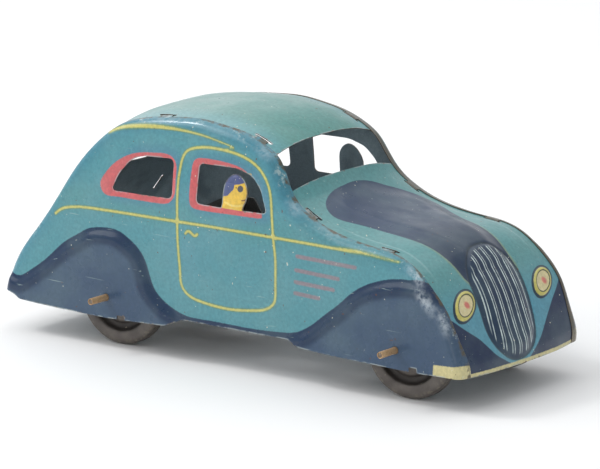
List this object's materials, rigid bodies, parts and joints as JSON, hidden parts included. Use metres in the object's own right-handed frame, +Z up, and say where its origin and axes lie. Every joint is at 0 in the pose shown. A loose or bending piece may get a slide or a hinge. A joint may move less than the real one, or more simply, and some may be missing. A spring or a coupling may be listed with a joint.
{
  "type": "friction tin car",
  "caption": "Pressed tinplate toy saloon with open windows, rolled side seams, tin wheels on through axles and a flywheel friction drive on the rear axle.",
  "frame": {"origin": "on the ground under the middle of the car, where the wheels rest", "axes": "+X forwards along the car, +Y to its left, +Z up"},
  "size_m": [0.2803, 0.1212, 0.1196],
  "materials": {
    "body_paint": "offset-printed tinplate, varnished, chipped and dulled with age",
    "bare_tinplate": "bare tinplate, dulled",
    "wheel_tin": "grey-brown lacquered tin, worn to a dull sheen",
    "sleeve_brass": "rolled brass-coloured tube, tarnished",
    "steel_wire": "drawn steel wire with light rust",
    "gear_brass": "stamped brass, oiled",
    "pinion_steel": "machined steel, oiled",
    "drive_plate_steel": "stamped sheet steel, dull",
    "flywheel_iron": "cast, with turned rim"
  },
  "bodies": {
    "body": {"side_panel_right": "body_paint", "side_panel_left": "body_paint", "roof_panel": "body_paint", "bonnet_panel": "body_paint", "front_cross_strap": "bare_tinplate", "rear_cross_strap": "bare_tinplate", "drive_plate_right": "drive_plate_steel", "drive_plate_left": "drive_plate_steel", "plate_pillars": "steel_wire"},
    "front_axle_set": {"front_axle": "steel_wire", "front_wheel_right_outer": "wheel_tin", "front_wheel_right_inner": "wheel_tin", "front_wheel_left_outer": "wheel_tin", "front_wheel_left_inner": "wheel_tin", "front_sleeve_right": "sleeve_brass", "front_sleeve_left": "sleeve_brass"},
    "rear_axle_set": {"rear_axle": "steel_wire", "rear_wheel_right_outer": "wheel_tin", "rear_wheel_right_inner": "wheel_tin", "rear_wheel_left_outer": "wheel_tin", "rear_wheel_left_inner": "wheel_tin", "rear_sleeve_right": "sleeve_brass", "rear_sleeve_left": "sleeve_brass", "drive_gear": "gear_brass"},
    "step_up_set": {"step_up_arbor": "steel_wire", "step_up_pinion": "pinion_steel", "step_up_gear": "gear_brass"},
    "flywheel_set": {"flywheel_arbor": "steel_wire", "flywheel_pinion": "pinion_steel", "flywheel": "flywheel_iron"}
  },
  "joints": [
    {"name": "rear_axle_spin", "type": "hinge", "parent": "body", "child": "rear_axle_set", "pos_m": [-0.071, 0, 0.025], "axis": [0, 1, 0], "continuous": true},
    {"name": "front_axle_spin", "type": "hinge", "parent": "body", "child": "front_axle_set", "pos_m": [0.1, 0, 0.025], "axis": [0, 1, 0], "continuous": true},
    {"name": "step_up_spin", "type": "hinge", "parent": "body", "child": "step_up_set", "pos_m": [-0.05404, 0, 0.0356], "axis": [0, 1, 0], "continuous": true},
    {"name": "flywheel_spin", "type": "hinge", "parent": "body", "child": "flywheel_set", "pos_m": [-0.03463, 0, 0.04044], "axis": [0, 1, 0], "continuous": true}
  ],
  "couplings": [
    {"joint": "step_up_spin", "follows": "rear_axle_spin", "ratio": -4},
    {"joint": "flywheel_spin", "follows": "rear_axle_spin", "ratio": 16}
  ]
}
